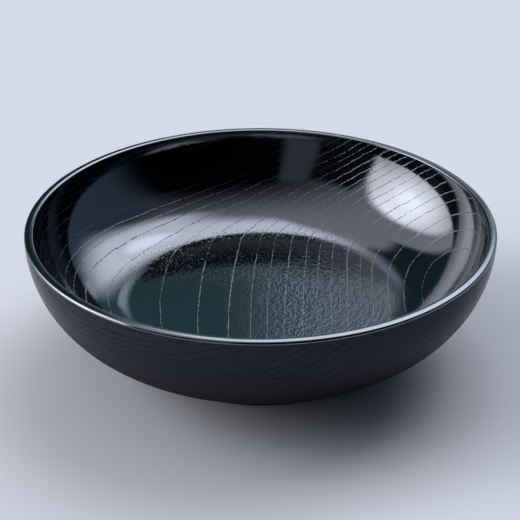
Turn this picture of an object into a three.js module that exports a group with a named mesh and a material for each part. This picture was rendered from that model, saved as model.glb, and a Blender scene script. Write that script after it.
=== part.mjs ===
// A wide lacquer bowl: a turned wood body on a glued foot ring, closed in coats of black lacquer.
// Millimetres, +Z up. The origin is on the table, under the middle of the foot.
import * as THREE from "three";

// Finished form of the bowl
const RIM_DIAMETER = 240;
const HEIGHT = 72;

// Inside of the bowl
const INSIDE_DEPTH = 46; // from the top of the lip to the middle of the floor
const DISH_RADIUS = 2700; // hollow of the floor
const FLOOR_INSET = 54.5; // rim in to the edge of the floor
const FLOOR_EASE = 35; // how long the wall's curve is drawn out along the floor
const LIP_EASE = 13; // how long the wall's curve is drawn out along the lip
const LIP_LEAN = 5.5; // degrees from upright at the top of the inside

// Lip
const LIP_WIDTH = 4.6;
const LIP_OUTER_ROUND = 1.2;
const LIP_INNER_ROUND = 1.0;

// Foot
const FOOT_DIAMETER = 124;
const FOOT_HEIGHT = 10.6; // table up to the lowest level of the belly curve
const FOOT_TUCK = 5; // how far in from the foot's outside the belly curve has its lowest level
const FOOT_WIDTH = 7;
const FOOT_EDGE_ROUND = 1.2;
const TONGUE_WIDTH = 3;
const TONGUE_HEIGHT = 3.5;
const GLUE_GAP = 0.3; // between the tongue and its groove

// Lacquer over the wood
const COAT = 0.4;
const BOND_LINE = 0.03; // between a coat and the wood it covers

// Facets
const TURN_STEPS = 60;
const FLOOR_STEPS = 2;
const WALL_STEPS = 12;
const BELLY_STEPS = 8;
const ROUND_STEPS = 2;

// Sections are drawn in the half plane right of the axis: x is the radius, y the height.
// The paths below follow the surface once, from the middle of the floor up the inside, over the
// lip, down the outside, round the foot and in to the axis again. Each runs along the finished
// face, or `depth` under that face.
const point = (r, z) => new THREE.Vector2(r, z);
const rim = RIM_DIAMETER / 2;
const foot = FOOT_DIAMETER / 2;
const footIn = foot - FOOT_WIDTH;
const woodDepth = COAT + BOND_LINE;

function arc(centre, radiusR, radiusZ, from, to, steps) {
  const curve = new THREE.EllipseCurve(
    centre.x,
    centre.y,
    radiusR,
    radiusZ,
    from,
    to,
    to < from,
  );
  return curve.getPoints(steps);
}

// Outside of the wall, from under the lip down to the foot: a quarter of an ellipse.
const belly = point(foot - FOOT_TUCK, HEIGHT - LIP_OUTER_ROUND);
const bellyReach = rim - belly.x;
const bellyDrop = belly.y - FOOT_HEIGHT;

function outerPath(depth) {
  const reach = bellyReach - depth;
  const end = -Math.acos((foot - depth - belly.x) / reach);
  return arc(belly, reach, bellyDrop - depth, 0, end, BELLY_STEPS);
}

// Inside, from the axis out over the floor and in one sweep up the wall to the lip.
const lean = THREE.MathUtils.degToRad(LIP_LEAN);
const innerLip = point(rim - LIP_WIDTH + LIP_INNER_ROUND, HEIGHT - LIP_INNER_ROUND);
const wallTop = point(
  innerLip.x - LIP_INNER_ROUND * Math.cos(lean),
  innerLip.y + LIP_INNER_ROUND * Math.sin(lean),
);
const dish = point(0, HEIGHT - INSIDE_DEPTH + DISH_RADIUS);
const floorTurn = Math.asin((rim - FLOOR_INSET) / DISH_RADIUS);
const floorEdge = point(rim - FLOOR_INSET, dish.y - DISH_RADIUS * Math.cos(floorTurn));
const wall = new THREE.CubicBezierCurve(
  floorEdge,
  point(
    floorEdge.x + FLOOR_EASE * Math.cos(floorTurn),
    floorEdge.y + FLOOR_EASE * Math.sin(floorTurn),
  ),
  point(wallTop.x - LIP_EASE * Math.sin(lean), wallTop.y - LIP_EASE * Math.cos(lean)),
  wallTop,
);

// Points after the start of a curve, moved square to it by `depth`.
function under(curve, depth, steps) {
  const points = [];
  for (let i = 1; i <= steps; i++) {
    const along = curve.getTangent(i / steps);
    const out = point(along.y, -along.x).multiplyScalar(depth);
    points.push(curve.getPoint(i / steps).add(out));
  }
  return points;
}

function innerPath(depth) {
  const down = -Math.PI / 2;
  const dishRadius = DISH_RADIUS + depth;
  return [
    ...arc(dish, dishRadius, dishRadius, down, down + floorTurn, FLOOR_STEPS),
    ...under(wall, depth, WALL_STEPS),
  ];
}

// Over the lip, from the inside to the outside: two rounded edges and a flat between them.
function lipPath(depth) {
  const outer = LIP_OUTER_ROUND;
  const inner = LIP_INNER_ROUND;
  const outerAt = point(rim - outer, HEIGHT - outer);
  const right = Math.PI / 2;
  return [
    ...arc(innerLip, inner - depth, inner - depth, 2 * right - lean, right, ROUND_STEPS),
    ...arc(outerAt, outer - depth, outer - depth, right, 0, ROUND_STEPS),
  ];
}

// Round the foot, from under the wall down, over the standing edge and up into the well.
const seat = outerPath(woodDepth)[BELLY_STEPS].y;

function footPath(depth) {
  const round = FOOT_EDGE_ROUND;
  const outerAt = point(foot - round, round);
  const innerAt = point(footIn + round, round);
  const right = Math.PI / 2;
  return [
    outerPath(depth)[BELLY_STEPS],
    ...arc(outerAt, round - depth, round - depth, 0, -right, ROUND_STEPS),
    ...arc(innerAt, round - depth, round - depth, -right, -2 * right, ROUND_STEPS),
    point(footIn + depth, seat - woodDepth + depth),
  ];
}

// Under the body inside the foot: a flat disc from the foot to the axis.
function wellPath(depth) {
  const level = seat - woodDepth + depth;
  return [point(footIn + depth, level), point(0, level)];
}

// One piece, turned from its section. A section off the axis is closed on itself.
function turned(name, section, look) {
  const onAxis = section[0].x < 1e-9 && section[section.length - 1].x < 1e-9;
  const outline = onAxis ? [...section] : [...section, section[0]];
  const geometry = new THREE.LatheGeometry(outline.reverse(), TURN_STEPS);
  geometry.rotateX(Math.PI / 2);
  const mesh = new THREE.Mesh(geometry, new THREE.MeshStandardMaterial(look));
  mesh.name = name;
  return mesh;
}

// A coat runs from a finished face down to its bond line on the wood.
function coat(name, path, look) {
  return turned(name, [...path(0), ...path(COAT).reverse()], look);
}

const bareWood = { color: "#8f6d49", roughness: 0.75, metalness: 0 };
const glossBlack = { color: "#141c20", roughness: 0.07, metalness: 0 };
const satinBlack = { color: "#2a2a2f", roughness: 0.38, metalness: 0 };
const rimBlack = { color: "#25292c", roughness: 0.2, metalness: 0 };

// Wood body, with the groove for the foot ring in its underside.
const tongueMid = foot - FOOT_WIDTH / 2;
const grooveHalf = TONGUE_WIDTH / 2 + GLUE_GAP;
const grooveTop = seat + TONGUE_HEIGHT + GLUE_GAP;
const bodySection = [
  ...innerPath(woodDepth),
  ...lipPath(woodDepth).slice(1),
  ...outerPath(woodDepth).slice(1),
  point(tongueMid + grooveHalf, seat),
  point(tongueMid + grooveHalf, grooveTop),
  point(tongueMid - grooveHalf, grooveTop),
  point(tongueMid - grooveHalf, seat),
  point(0, seat),
];

// Foot ring, with the tongue that stands in the groove.
const tongueIn = tongueMid - TONGUE_WIDTH / 2;
const tongueOut = tongueMid + TONGUE_WIDTH / 2;
const footSection = [
  ...footPath(woodDepth),
  point(tongueIn, seat),
  point(tongueIn, seat + TONGUE_HEIGHT),
  point(tongueOut, seat + TONGUE_HEIGHT),
  point(tongueOut, seat),
];

const bowl = new THREE.Group();
bowl.name = "lacquer_bowl";
bowl.add(
  turned("wood_body", bodySection, bareWood),
  turned("foot_ring", footSection, bareWood),
  coat("inner_lacquer", innerPath, glossBlack),
  coat("rim_lacquer", lipPath, rimBlack),
  coat("outer_lacquer", outerPath, satinBlack),
  coat("foot_lacquer", footPath, satinBlack),
  coat("foot_well_lacquer", wellPath, satinBlack),
);

export default bowl;
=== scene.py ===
import math

import bpy
import numpy as np
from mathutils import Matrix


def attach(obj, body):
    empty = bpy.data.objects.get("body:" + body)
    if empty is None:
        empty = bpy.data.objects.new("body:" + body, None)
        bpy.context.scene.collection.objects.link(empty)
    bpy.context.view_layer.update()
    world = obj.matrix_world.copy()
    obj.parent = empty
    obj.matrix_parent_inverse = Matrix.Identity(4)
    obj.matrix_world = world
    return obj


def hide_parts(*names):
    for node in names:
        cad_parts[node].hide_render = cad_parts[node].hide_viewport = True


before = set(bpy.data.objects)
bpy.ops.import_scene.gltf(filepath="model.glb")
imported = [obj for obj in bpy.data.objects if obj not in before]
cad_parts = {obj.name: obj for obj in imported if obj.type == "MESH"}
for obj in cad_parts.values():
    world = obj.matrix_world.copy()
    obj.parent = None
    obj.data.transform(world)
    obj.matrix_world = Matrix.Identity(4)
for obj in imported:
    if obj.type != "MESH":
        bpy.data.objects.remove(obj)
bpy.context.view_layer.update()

scene = bpy.context.scene
scene.view_settings.view_transform = "Standard"

# Camera
# It stands about three and a half rim widths in front of the bowl. It looks down by 28 degrees through
# a long lens, so that the rim takes up most of the picture's width.
lens = bpy.data.cameras.new("camera")
lens.sensor_width = 36.0
lens.lens = 113.9
camera = bpy.data.objects.new("camera", lens)
camera.location = (-0.0003, -0.7497, 0.4511)
camera.rotation_euler = (math.radians(61.82), 0.0, 0.0)
scene.collection.objects.link(camera)
scene.camera = camera

# Studio light
# A plain room round the bowl: a tall window on the left, a second one behind on the right, a grey
# ceiling that fades to the front, and dim or dark walls between them. The camera sees it as pale grey.
class Shade:
    """A socket among shader nodes. Operators on it add Math nodes; add() adds any other node."""

    def __init__(self, tree, socket=None):
        self.tree = tree
        self.socket = socket

    def add(self, kind, settings=None, values=None, out=0):
        """A node of type `kind`: its settings are set first, then the values or links of its sockets."""
        node = self.tree.nodes.new(kind)
        for name, value in (settings or {}).items():
            setattr(node, name, value)
        for name, value in (values or {}).items():
            if isinstance(value, Shade):
                self.tree.links.new(value.socket, node.inputs[name])
            else:
                node.inputs[name].default_value = value
        return Shade(self.tree, node.outputs[out])

    def other(self, out):
        """Another output of the node that this socket belongs to."""
        return Shade(self.tree, self.socket.node.outputs[out])

    def math(self, operation, *values):
        """A Math node on this number and the others given."""
        return self.add("ShaderNodeMath", {"operation": operation}, dict(enumerate((self, *values))))

    def vector(self, operation, *values, out=0):
        """A Vector Math node on this vector and the others given. Its output 1 is a number."""
        inputs = dict(enumerate((self, *values)))
        return self.add("ShaderNodeVectorMath", {"operation": operation}, inputs, out)

    def times(self, vector):
        """The vector given, times this number."""
        return self.add("ShaderNodeVectorMath", {"operation": "SCALE"}, {0: vector, "Scale": self})

    def __add__(self, value):
        return self.math("ADD", value)

    __radd__ = __add__

    def __sub__(self, value):
        return self.math("SUBTRACT", value)

    def __rsub__(self, value):
        return self.add("ShaderNodeMath", {"operation": "SUBTRACT"}, {0: value, 1: self})

    def __mul__(self, value):
        return self.math("MULTIPLY", value)

    __rmul__ = __mul__

    def __truediv__(self, value):
        return self.math("DIVIDE", value)

    def __pow__(self, value):
        return self.math("POWER", value)

    def step(self, low, high):
        """0 below `low`, 1 above `high`, with a smooth run between; `high` below `low` turns it round."""
        settings = {"interpolation_type": "SMOOTHSTEP"}
        if low < high:
            ends = {"From Min": low, "From Max": high, "To Min": 0.0, "To Max": 1.0}
        else:
            ends = {"From Min": high, "From Max": low, "To Min": 1.0, "To Max": 0.0}
        return self.add("ShaderNodeMapRange", settings, {"Value": self, **ends})

    def noise(self, scale, detail=2.0, roughness=0.5):
        """Noise of about 0 to 1 at this vector, with `scale` bumps to a unit."""
        values = {"Vector": self, "Scale": scale, "Detail": detail, "Roughness": roughness}
        return self.add("ShaderNodeTexNoise", None, values)

    def blend(self, low, high):
        """The colour `low` where this is 0 and `high` where it is 1."""
        settings = {"data_type": "RGBA"}
        colours = {6: low if isinstance(low, Shade) else (*low, 1.0)}
        colours[7] = high if isinstance(high, Shade) else (*high, 1.0)
        return self.add("ShaderNodeMix", settings, {0: self, **colours}, out=2)


room = bpy.data.worlds.new("room")
room.use_nodes = True
start = Shade(room.node_tree)
toward = start.add("ShaderNodeTexCoord", out="Generated")
x = toward.add("ShaderNodeSeparateXYZ", None, {0: toward})
y = x.other(1)
rise = x.other(2).math("ARCSINE").math("DEGREES")
from_right = y.math("ARCTAN2", x).math("DEGREES")
from_left = y.math("ARCTAN2", x * -1.0).math("DEGREES")

# Ceiling and walls. Each patch is a product of soft steps, in degrees round from the right or the left
# and in degrees up.
ceiling = (y - x * 0.45).step(-0.65, 0.45) * rise.step(2.0, 9.0)
light = ceiling.blend((0.0, 0.0, 0.0), (0.84, 0.90, 1.07))
right_wall = from_right.step(70.0, 50.0) * from_right.step(-26.0, 6.0) * rise.step(62.0, 44.0)
light = right_wall.blend(light, (0.11, 0.18, 0.28))
back_wall = from_right.step(60.0, 68.0) * from_right.step(136.0, 131.0) * rise.step(50.0, 44.0)
light = back_wall.blend(light, (0.02, 0.055, 0.07))
back_floor = from_right.step(50.0, 62.0) * from_right.step(96.8, 94.8) * rise.step(34.0, 28.0)
light = back_floor.blend(light, (0.09, 0.20, 0.25))

# Narrow lights behind the bowl, lower than the back window.
gap = from_right.step(91.0, 87.0) * from_right.step(83.0, 85.0)
gap = gap * rise.step(36.0, 31.0) * rise.step(26.0, 28.0)
light = gap.blend(light, (0.88, 1.13, 1.38))
low = from_right.step(84.0, 80.0) * rise.step(19.0, 16.0)
low = low.math("MAXIMUM", from_right.step(75.0, 72.0) * rise.step(24.0, 21.0))
low = low.math("MAXIMUM", from_right.step(100.0, 95.0) * rise.step(9.0, 6.0))
low = low * from_right.step(62.0, 66.0) * rise.step(-2.0, 1.0)
light = low.blend(light, (0.62, 0.66, 0.78))
ledge = from_right.step(91.5, 94.0) * from_right.step(103.0, 98.0)
ledge = ledge * rise.step(31.0, 33.0) * rise.step(41.0, 36.0)
light = ledge.blend(light, (0.55, 0.70, 0.95))

# Back window, over a sill that rises to the left.
sill = (from_right - 70.0).math("MAXIMUM", 0.0).math("MINIMUM", 20.0) * 0.75
back_window = (from_right + (rise - 30.0) * 0.55).step(26.0, 48.0) * from_right.step(108.0, 96.0)
over_sill = (rise - sill * 1.33 - 14.0) / (26.0 - sill * 0.40)
back_window = back_window * over_sill.step(0.0, 1.0) * rise.step(80.0, 62.0)
core = ((from_right - 61.0) / 10.0) ** 2.0 + ((rise - 51.0) / 6.0) ** 2.0
glow = core.step(2.2, 0.0).blend((2.9, 3.15, 3.8), (4.4, 4.75, 5.7))
light = back_window.blend(light, glow)

# Left window, rounded off at its corners and dimmer at both ends.
round_off = ((from_left - 3.0).math("ABSOLUTE") / 34.0) ** 2.4
round_off = round_off + ((rise + 2.0).math("MAXIMUM", 0.0) / 48.0) ** 2.4
glow = rise.step(-4.0, 24.0).blend((2.3, 2.45, 2.8), (5.5, 5.8, 6.65))
core = ((from_left - 3.0) / 9.0) ** 2.0 + ((rise - 25.0) / 6.0) ** 2.0
glow = core.step(2.2, 0.0).blend(glow, (6.2, 6.5, 7.5))
dim = from_left.step(2.0, -24.0) * 0.35 + from_left.step(12.0, 34.0) * 0.45
glow = dim.blend(glow, (0.0, 0.0, 0.0))
light = round_off.step(1.16, 0.80).blend(light, glow)

# A dark panel and a dim one, from the left window round to the front.
dark_panel = from_left.step(-26.0, -29.0) * from_left.step(-62.0, -58.0) * rise.step(50.0, 40.0)
light = dark_panel.blend(light, (0.008, 0.008, 0.011))
dim_panel = from_left.step(-57.0, -62.0) * from_left.step(-80.0, -74.0) * rise.step(58.0, 46.0)
light = dim_panel.blend(light, (0.165, 0.19, 0.245))

# Every ray but the camera's sees the patches.
lit = light.add("ShaderNodeBackground", None, {"Color": light})
seen = light.add("ShaderNodeBackground", None, {"Color": (0.62, 0.64, 0.68, 1.0)})
direct = light.add("ShaderNodeLightPath", out="Is Camera Ray")
both = direct.add("ShaderNodeMixShader", None, {0: direct, 1: lit, 2: seen})
room.node_tree.links.new(both.socket, room.node_tree.nodes["World Output"].inputs["Surface"])
scene.world = room

# Floor
# A plain matt table top under the bowl, pale and with no edge in view. It lies a hair under the
# standing edge, so that the two faces never share a plane.
TABLE_REACH = 3.0
TABLE_LEVEL = -0.0002


def finish_of(name):
    """A new material: its Principled shader node, and a Shade to start its other nodes from."""
    material = bpy.data.materials.new(name)
    material.use_nodes = True
    return material, material.node_tree.nodes["Principled BSDF"], Shade(material.node_tree)


def feed(shader, name, value):
    """Link or set one socket of a shader."""
    if isinstance(value, Shade):
        value.tree.links.new(value.socket, shader.inputs[name])
    else:
        shader.inputs[name].default_value = value


table_finish, shader, _ = finish_of("pale_table")
feed(shader, "Base Color", (0.72, 0.705, 0.68, 1.0))
feed(shader, "Roughness", 0.75)
feed(shader, "Specular IOR Level", 0.2)
table_mesh = bpy.data.meshes.new("table")
signs = ((-1, -1), (1, -1), (1, 1), (-1, 1))
corners = [(right * TABLE_REACH, back * TABLE_REACH, TABLE_LEVEL) for right, back in signs]
table_mesh.from_pydata(corners, [], [(0, 1, 2, 3)])
table_mesh.materials.append(table_finish)
table = bpy.data.objects.new("table", table_mesh)
scene.collection.objects.link(table)

# Wood body
# One flat-sawn block, turned to floor, wall and lip. Its growth rings are cylinders round a pith that
# ran above the bowl from front to back. The lacquer closes it in, but its open pores show through.
MILLIMETRES = 1000.0  # in a metre; all lengths of the grain are in millimetres
PITH_AT = (-69.5, 0.0, 228.3)
PITH_ALONG = np.array([0.046, 1.0, 0.005])
FIRST_RING = 188.0  # out from the pith
RING_STEP = 3.45
# Wide and narrow years come and go in a slow wave and a quick one: crest, length and size.
SLOW_YEARS = (196.9, 64.2, 0.25)
QUICK_YEARS = (205.3, 11.5, 0.10)


def dress(node, finish):
    """Give a CAD node one finish in place of its own."""
    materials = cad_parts[node].data.materials
    materials.clear()
    materials.append(finish)


class Grain:
    """The wood's own coordinates at a point, in millimetres: `out` from the pith, `along` the fibres,
    and how far it is over the face to the nearest line where one year's growth meets the next."""

    def __init__(self, start):
        place = start.add("ShaderNodeTexCoord", out="Object")
        facing = place.other("Normal")
        self.place = place.vector("MULTIPLY", (MILLIMETRES,) * 3)
        self.fibre = tuple(PITH_ALONG / np.linalg.norm(PITH_ALONG))
        arm = self.place.vector("SUBTRACT", PITH_AT)
        self.along = arm.vector("DOT_PRODUCT", self.fibre, out=1)
        self.across = arm.vector("SUBTRACT", self.along.times(self.fibre))
        self.out = self.across.vector("LENGTH", out=1)
        # How steeply the face cuts the rings: 0 where they lie in it, 1 where it cuts straight across.
        level = self.across.vector("NORMALIZE").vector("DOT_PRODUCT", facing, out=1)
        self.cut = (1.0 - level**2.0).math("MAXIMUM", 0.004) ** 0.5
        wander = self.pressed(0.12).noise(0.07, 3.0, 0.55) - 0.5
        shake = self.pressed(0.25).noise(0.5, 2.0) - 0.5
        sway = (wander * 3.0 + shake * 0.8) * self.cut
        waves = self.wave(*QUICK_YEARS) - self.wave(*SLOW_YEARS)
        self.count = (self.out + sway - FIRST_RING) / RING_STEP + waves
        self.year = self.count.math("FRACT")
        self.off_line = self.count.math("PINGPONG", 0.5) * RING_STEP / self.cut

    def wave(self, crest, length, size):
        """A cosine of the distance from the pith, with a crest at `crest`."""
        return ((self.out - crest) * (2 * math.pi / length)).math("COSINE") * size

    def pressed(self, share):
        """The place with its run along the fibres shortened to `share`, so that noise there runs long."""
        return self.across.vector("ADD", (self.along * share).times(self.fibre))

    def pores(self, half_width):
        """1 in the open pores, which lie in rows on the year lines: some years strong and some faint,
        in beads along the fibres, and none where the rings lie in the face."""
        row = self.off_line.step(half_width, half_width * 0.3) * self.cut.step(0.06, 0.11)
        index = self.count.math("ROUND")
        vigour = index.add("ShaderNodeTexWhiteNoise", {"noise_dimensions": "1D"}, {"W": index})
        bead = self.pressed(0.2).noise(1.2, 2.0, 0.6).step(0.44, 0.56)
        return row * (bead * 0.78 + 0.22) * (vigour * 0.4 + 0.6)


wood_finish, shader, start = finish_of("turned_wood")
grain = Grain(start)
early = grain.year.step(0.0, 0.5) * 0.7 + grain.pressed(0.05).noise(2.2, 3.0) * 0.3
colour = early.blend((0.30, 0.17, 0.08), (0.50, 0.33, 0.18))
pore = grain.pores(0.4)
feed(shader, "Base Color", pore.blend(colour, (0.10, 0.055, 0.03)))
feed(shader, "Roughness", 0.55 + grain.pressed(0.05).noise(3.0) * 0.3)
dent = pore.add("ShaderNodeBump", None, {"Strength": 0.5, "Distance": 0.0003, "Height": 1.0 - pore})
feed(shader, "Normal", dent)
dress("wood_body", wood_finish)

# Foot ring
# A ring turned from the same wood and glued under the body, with a tongue on top that sits in a groove
# there. The lacquer closes it in as well.
dress("foot_ring", wood_finish)

# Inside lacquer
# The high-gloss black coat of the hollow, brushed over the sealed wood and polished. An almost flat
# floor runs in one sweep into a wall that stands nearly upright at the lip.
RIM = 0.120  # radius; these sizes are in metres
HEIGHT = 0.072
COAT = 0.0004
INSIDE_DEPTH = 0.046
DISH = 2.7  # radius of the floor's arc
FLOOR_INSET = 0.0545  # rim in to the end of the floor
FLOOR_EASE = 0.035  # how far the wall's curve holds the floor's slope
LIP_EASE = 0.013  # and the lip's
LIP_LEAN = math.radians(5.5)  # of the wall at the lip, off upright
LIP_WIDTH = 0.0046
LIP_INNER_ROUND = 0.0010
TURNS = 240  # steps round the axis
FLOOR_STEPS = 20
WALL_STEPS = 80
SHARP_EDGE = math.radians(35)
ON_AXIS = 1e-9
inner_lip = np.array([RIM - LIP_WIDTH + LIP_INNER_ROUND, HEIGHT - LIP_INNER_ROUND])
wall_top = inner_lip + LIP_INNER_ROUND * np.array([-math.cos(LIP_LEAN), math.sin(LIP_LEAN)])


def arc(centre, reach, start, end, steps):
    """Points of an ellipse arc: centre plus reach times (cos, sin) of an angle that runs evenly."""
    angle = np.linspace(start, end, steps + 1)
    return np.stack([centre[0] + reach[0] * np.cos(angle), centre[1] + reach[1] * np.sin(angle)], axis=1)


def inside_face(depth):
    """Radius and height of the inside, `depth` under the face: an arc of the dish, then a cubic
    Bezier that leaves the floor and reaches the lip along their own slopes, moved square to itself."""
    turn = math.asin((RIM - FLOOR_INSET) / DISH)
    middle = HEIGHT - INSIDE_DEPTH + DISH
    down = -math.pi / 2
    floor = arc((0.0, middle), (DISH + depth, DISH + depth), down, down + turn, FLOOR_STEPS)
    floor[0, 0] = 0.0  # exactly on the axis
    a = np.array([DISH * math.sin(turn), middle - DISH * math.cos(turn)])
    b = a + FLOOR_EASE * np.array([math.cos(turn), math.sin(turn)])
    c = wall_top - LIP_EASE * np.array([math.sin(LIP_LEAN), math.cos(LIP_LEAN)])
    d = wall_top
    t = np.linspace(0.0, 1.0, WALL_STEPS + 1)[1:, None]
    wall = (1 - t) ** 3 * a + 3 * t * (1 - t) ** 2 * b + 3 * t**2 * (1 - t) * c + t**3 * d
    slope = (1 - t) ** 2 * (b - a) + 2 * t * (1 - t) * (c - b) + t**2 * (d - c)
    out = np.stack([slope[:, 1], -slope[:, 0]], axis=1) / np.linalg.norm(slope, axis=1)[:, None]
    return np.concatenate([floor, wall + out * depth])


def turned(name, section, finish):
    """A section (radius, height) carried once round the axis: point (r cos a, r sin a, h) for each
    section point and each angle a. A section that ends on the axis closes there in one point, and any
    other section closes on itself."""
    r, h = section[:, 0], section[:, 1]
    a = np.linspace(0.0, 2 * math.pi, TURNS, endpoint=False)
    on_axis = r < ON_AXIS
    grid = np.stack([np.outer(r, np.cos(a)), np.outer(r, np.sin(a)), np.outer(h, np.ones(TURNS))], axis=2)
    points = np.concatenate([grid[~on_axis].reshape(-1, 3), grid[on_axis][:, 0]])
    # First vertex of each section point: the whole rings come first, then the single points on the axis.
    ring = np.cumsum(~on_axis) - 1
    base = np.where(on_axis, (~on_axis).sum() * TURNS + np.cumsum(on_axis) - 1, ring * TURNS)
    closed = not on_axis.any()
    here = np.arange(len(r) if closed else len(r) - 1)
    there = (here + 1) % len(r)
    k = np.arange(TURNS)
    k_next = (k + 1) % TURNS
    low = base[here][:, None] + np.where(on_axis[here][:, None], 0, k)
    low_next = base[here][:, None] + np.where(on_axis[here][:, None], 0, k_next)
    high = base[there][:, None] + np.where(on_axis[there][:, None], 0, k)
    high_next = base[there][:, None] + np.where(on_axis[there][:, None], 0, k_next)
    quads = np.stack([low, low_next, high_next, high], axis=2)
    sides = ~(on_axis[here] | on_axis[there])
    faces = quads[sides].reshape(-1, 4).tolist()
    faces += quads[on_axis[here]][:, :, [0, 2, 3]].reshape(-1, 3).tolist()
    faces += quads[on_axis[there]][:, :, [0, 1, 2]].reshape(-1, 3).tolist()
    mesh = bpy.data.meshes.new(name)
    mesh.from_pydata(points.tolist(), [], faces)
    mesh.polygons.foreach_set("use_smooth", np.ones(len(mesh.polygons), dtype=bool))
    mesh.set_sharp_from_angle(angle=SHARP_EDGE)
    mesh.materials.append(finish)
    mesh.update()
    piece = bpy.data.objects.new(name, mesh)
    scene.collection.objects.link(piece)
    return piece


def coat(face):
    """A coat's closed section: along its finished face and back along the wood under it."""
    return np.concatenate([face(0.0), face(COAT)[::-1]])[::-1]


inside_finish, shader, start = finish_of("gloss_lacquer")
grain = Grain(start)
side = start.add("ShaderNodeSeparateXYZ", None, {0: grain.place})
back = side.other(1)
height = side.other(2)
# The coat is thick high on the wall at the left, and most of all at the back, and has filled the pores
# there. They are faint on the right of the floor too.
filled = height.step(36.0, 50.0) * side.step(62.0, 22.0)
filled = filled * (0.65 + back.step(15.0, 60.0) * 0.35)
faint = side.step(20.0, 60.0) * height.step(34.0, 28.0)
pore = grain.pores(0.34) * (1.0 - filled * 0.85) * (1.0 - faint * 0.4)
feed(shader, "Base Color", pore.blend((0.002, 0.003, 0.004), (0.070, 0.084, 0.086)))
feed(shader, "IOR", 2.1)
# Fine skin of the brushed lacquer, small pits at the back, and the round marks of the turning tool.
level_place = grain.place.vector("MULTIPLY", (1.0, 1.0, 0.0))
radius = level_place.vector("LENGTH", out=1)
spoke = start.add("ShaderNodeSeparateXYZ", None, {0: level_place.vector("NORMALIZE")})
turn = spoke.add("ShaderNodeCombineXYZ", None, {0: spoke * 7.0, 1: spoke.other(1) * 7.0, 2: radius * 0.5})
floor = radius.step(84.0, 76.0)
behind = back.step(5.0, 40.0) * side.step(62.0, 36.0)
right = side.step(-10.0, 35.0) * radius.step(76.0, 64.0)
pit = grain.pressed(0.45).noise(1.0, 1.0).step(0.57, 0.72) * behind * floor
skin = grain.pressed(0.45).noise(0.7, 2.0, 0.6) * (0.2 + right * 1.2 + behind * floor * 0.25)
skin = skin + pit * 0.42 + turn.noise(1.0, 2.0) * right * 2.4
relief = skin - pore * 0.8
# Use has dulled the right of the floor.
dulled = side.step(12.0, 60.0) * radius.step(84.0, 66.0)
feed(shader, "Roughness", 0.05 + grain.place.noise(0.05, 2.0) * 0.03 + dulled * 0.13 + pore * 0.65)
dent = relief.add("ShaderNodeBump", None, {"Strength": 1.0, "Distance": 0.00008, "Height": relief})
feed(shader, "Normal", dent)
inside = turned("inner_lacquer_coat", coat(inside_face), inside_finish)
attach(inside, "root")
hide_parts("inner_lacquer")

# Lip lacquer
# The coat over the lip, with the grain filled so that it wears well: a sharp inner edge, a narrow flat
# and a softly rounded outer edge, polished by use.
LIP_FALL = math.radians(10.0)  # of the flat, outwards
LIP_INNER_INSET = 0.0028  # rim in to the middle of the inner arc
LIP_OUTER_ROUND = 0.00135
LIP_WOOD_ROUND = 0.0012  # of the wood's edge, under the coat
LIP_INNER_STEPS = 14
LIP_OUTER_STEPS = 16
inner_at = np.array([RIM - LIP_INNER_INSET, wall_top[1]])
inner_reach = np.array([inner_at[0] - wall_top[0], HEIGHT - wall_top[1]])
inner_end = math.atan(inner_reach[1] / (inner_reach[0] * math.tan(LIP_FALL)))
flat_from = inner_at + inner_reach * np.array([math.cos(inner_end), math.sin(inner_end)])
flat_to = RIM - LIP_OUTER_ROUND * (1.0 - math.sin(LIP_FALL))
flat_low = flat_from[1] - (flat_to - flat_from[0]) * math.tan(LIP_FALL)
lip_end = flat_low - LIP_OUTER_ROUND * math.cos(LIP_FALL)


def lip_face(depth):
    """Radius and height over the lip from inside to outside. The face is an ellipse arc, a flat that
    falls outwards by LIP_FALL and a wider arc, tangent to it, that ends upright at the rim. Under it
    the coat follows the wood, whose top is level and whose edge has a smaller arc."""
    up = math.pi / 2
    if depth == 0.0:
        first = arc(inner_at, inner_reach, 2 * up, inner_end, LIP_INNER_STEPS)
        outer_at = (RIM - LIP_OUTER_ROUND, lip_end)
        last = arc(outer_at, (LIP_OUTER_ROUND,) * 2, up - LIP_FALL, 0.0, LIP_OUTER_STEPS)
        return np.concatenate([first, last])
    first = arc(inner_lip, (LIP_INNER_ROUND - depth,) * 2, 2 * up - LIP_LEAN, up, LIP_INNER_STEPS)
    wood_edge = (RIM - LIP_WOOD_ROUND, HEIGHT - LIP_WOOD_ROUND)
    last = arc(wood_edge, (LIP_WOOD_ROUND - depth,) * 2, up, 0.0, LIP_OUTER_STEPS - 1)
    return np.concatenate([first, last, [[RIM - depth, lip_end]]])


lip_finish, shader, start = finish_of("rim_lacquer")
grain = Grain(start)
pore = grain.pores(0.2)
rubbed = grain.place.noise(0.15, 3.0)
feed(shader, "Base Color", rubbed.blend((0.002, 0.002, 0.003), (0.004, 0.004, 0.005)))
feed(shader, "Roughness", 0.05 + rubbed * 0.06 + pore * 0.2)
feed(shader, "IOR", 2.4)
dent = pore.add("ShaderNodeBump", None, {"Strength": 0.2, "Distance": 0.0001, "Height": 1.0 - pore})
feed(shader, "Normal", dent)
lip = turned("rim_lacquer_coat", coat(lip_face), lip_finish)
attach(lip, "root")
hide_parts("rim_lacquer")

# Outside lacquer
# The satin black coat of the outside, brushed over the turned wall and rubbed down. The grain shows in
# it as faint dark lines, most of all under the lip.
FOOT = 0.062  # radius
FOOT_TUCK = 0.005  # from the foot's outside in to the middle of the belly's ellipse
FOOT_HEIGHT = 0.0106
BELLY_STEPS = 60
belly = (FOOT - FOOT_TUCK, HEIGHT - LIP_WOOD_ROUND)
belly_reach = (RIM - belly[0], belly[1] - FOOT_HEIGHT)


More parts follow.
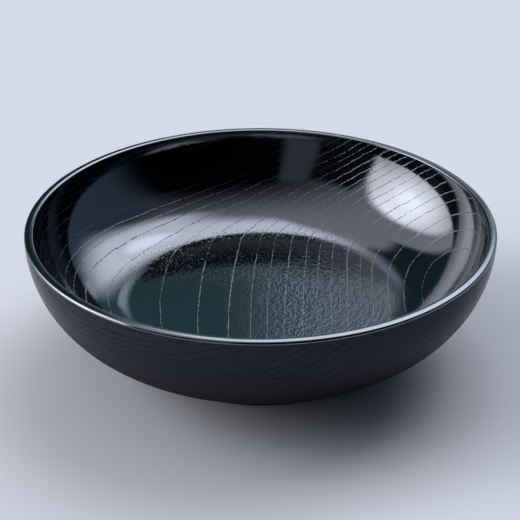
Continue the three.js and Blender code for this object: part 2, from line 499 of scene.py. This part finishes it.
def outside_face(depth):
    """Radius and height down the outside: a quarter of an ellipse from the lip to the foot."""
    reach = (belly_reach[0] - depth, belly_reach[1] - depth)
    end = -math.acos((FOOT - depth - belly[0]) / reach[0])
    return arc(belly, reach, (lip_end - belly[1]) / reach[1], end, BELLY_STEPS)


outside_finish, shader, start = finish_of("satin_lacquer")
grain = Grain(start)
# The base colour darkens down the wall as painted shade, darkest near the foot, with the pores open
# under the lip and filled below.
height = start.add("ShaderNodeSeparateXYZ", None, {0: grain.place}).other(2)
filled = (height + grain.place.noise(0.03, 2.0) * 30.0).step(66.0, 48.0)
pore = grain.pores(0.36) * (1.0 - filled * 0.8)
# Painted shade: the black is darkest near the foot and lighter towards the lip.
painted_shade_black = height.step(22.0, 64.0).blend((0.003, 0.003, 0.004), (0.027, 0.028, 0.038))
feed(shader, "Base Color", pore.blend(painted_shade_black, (0.002, 0.002, 0.003)))
matt = height.step(60.0, 20.0) * 0.45 + grain.place.noise(0.2, 3.0) * 0.12
feed(shader, "Roughness", 0.15 + matt + pore * 0.7)
feed(shader, "IOR", 1.16)
relief = grain.place.noise(0.5, 3.0, 0.6) * 0.12 - pore * 0.6
dent = relief.add("ShaderNodeBump", None, {"Strength": 0.6, "Distance": 0.0002, "Height": relief})
feed(shader, "Normal", dent)
outside = turned("outer_lacquer_coat", coat(outside_face), outside_finish)
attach(outside, "root")
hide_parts("outer_lacquer")

# Foot lacquer
# The coat round the glued foot ring, in the same satin black as the outside. It runs down the ring,
# over its standing edge and up its inner side into the well.
FOOT_WIDTH = 0.007
FOOT_EDGE_ROUND = 0.0012
FOOT_ROUND_STEPS = 8
BOND_LINE = 0.00003
WOOD_DEPTH = COAT + BOND_LINE
seat = outside_face(WOOD_DEPTH)[-1, 1]


def foot_face(depth):
    """Radius and height round the foot: down its outside, two quarter circles with the standing edge
    between them, and up its inside to the well."""
    outer = (FOOT - FOOT_EDGE_ROUND, FOOT_EDGE_ROUND)
    inner = (FOOT - FOOT_WIDTH + FOOT_EDGE_ROUND, FOOT_EDGE_ROUND)
    right = math.pi / 2
    top = outside_face(depth)[-1:]
    first = arc(outer, (FOOT_EDGE_ROUND - depth,) * 2, 0.0, -right, FOOT_ROUND_STEPS)
    last = arc(inner, (FOOT_EDGE_ROUND - depth,) * 2, -right, -2 * right, FOOT_ROUND_STEPS)
    end = np.array([[FOOT - FOOT_WIDTH + depth, seat - WOOD_DEPTH + depth]])
    return np.concatenate([top, first, last, end])


foot = turned("foot_lacquer_coat", coat(foot_face), outside_finish)
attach(foot, "root")
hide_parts("foot_lacquer")

# Well lacquer
# The flat coat under the body, inside the foot ring, brushed on in the same satin black. It closes
# the wood off from below.
WELL_POINTS = 12


def well_face(depth):
    """Radius and height of a flat disc from the axis out to the foot."""
    level = seat - WOOD_DEPTH + depth
    r = np.linspace(0.0, FOOT - FOOT_WIDTH + depth, WELL_POINTS)
    return np.stack([r, np.full(WELL_POINTS, level)], axis=1)


# The disc runs outwards, against the way of the other faces, so its section is turned round.
well = turned("foot_well_lacquer_coat", coat(well_face)[::-1], outside_finish)
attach(well, "root")
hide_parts("foot_well_lacquer")
